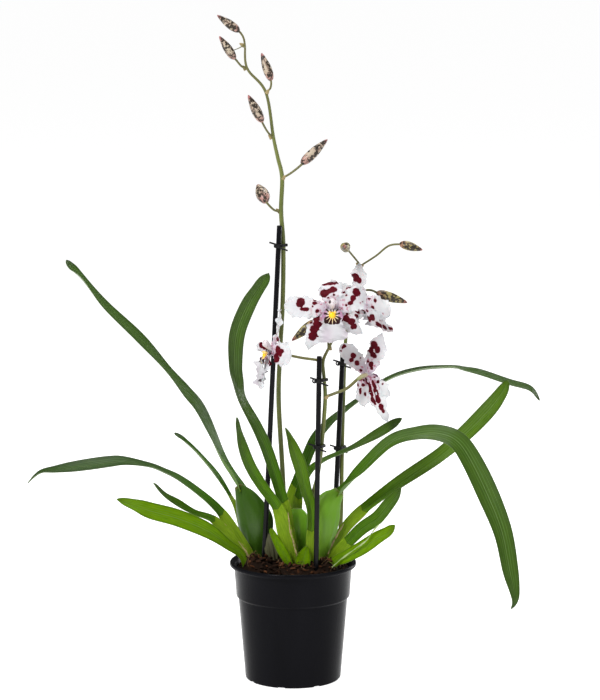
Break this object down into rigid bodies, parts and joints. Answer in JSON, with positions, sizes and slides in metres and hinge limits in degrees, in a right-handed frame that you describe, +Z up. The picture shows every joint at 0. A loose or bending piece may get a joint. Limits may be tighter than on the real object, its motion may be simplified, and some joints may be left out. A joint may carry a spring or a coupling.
{
  "type": "potted orchid plant",
  "caption": "Potted orchid in bloom: black nursery pot of bark, flat pseudobulbs, long strap leaves, and flower spikes tied to black stakes, with white blooms blotched burgundy.",
  "frame": {"origin": "centre of the pot's foot, on the surface that the pot stands on", "axes": "+Z up along the pot's axis; -Y is the plant's front, the side that the picture shows; +X is its right in that view"},
  "size_m": [0.4788, 0.1511, 0.6273],
  "materials": {
    "pot": "satin",
    "bark": "matte",
    "root": "matte",
    "stake": "satin",
    "tie": "satin",
    "bulb": "satin",
    "old_bulb": "matte",
    "leaf": "satin",
    "young_leaf": "satin",
    "spike": "satin",
    "tepals": "satin",
    "lip": "satin"
  },
  "bodies": {
    "root": {"pot": "pot", "bark_mix": "bark", "rhizome_and_roots": "root", "stake_left": "stake", "stake_centre": "stake", "stake_right": "stake", "bulb_left": "bulb", "bulb_right": "bulb", "bulb_middle": "bulb", "bulb_old": "old_bulb", "leaf_left_tall": "leaf", "leaf_left_long": "leaf", "leaf_left_thin": "leaf", "leaf_left_low": "leaf", "leaf_left_lowest": "young_leaf", "leaf_centre_tall": "leaf", "leaf_centre_left": "leaf", "leaf_centre_upright": "leaf", "leaf_back_long": "leaf", "leaf_back_short": "leaf", "leaf_right_arching": "leaf", "leaf_right_long": "leaf", "leaf_right_low": "leaf", "leaf_right_lowest": "young_leaf", "leaf_left_bract": "leaf", "leaf_centre_bract": "leaf", "spike_left": "spike", "spike_centre": "spike", "spike_right": "spike", "bloom_front_tepals": "tepals", "bloom_front_lip": "lip", "bloom_back_tepals": "tepals", "bloom_back_lip": "lip", "bloom_left_tepals": "tepals", "bloom_left_lip": "lip", "bloom_low_tepals": "tepals", "bloom_low_lip": "lip", "tie_left_high": "tie", "tie_centre_high": "tie", "tie_centre_low": "tie", "tie_right_high": "tie", "tie_right_low": "tie"}
  },
  "joints": []
}
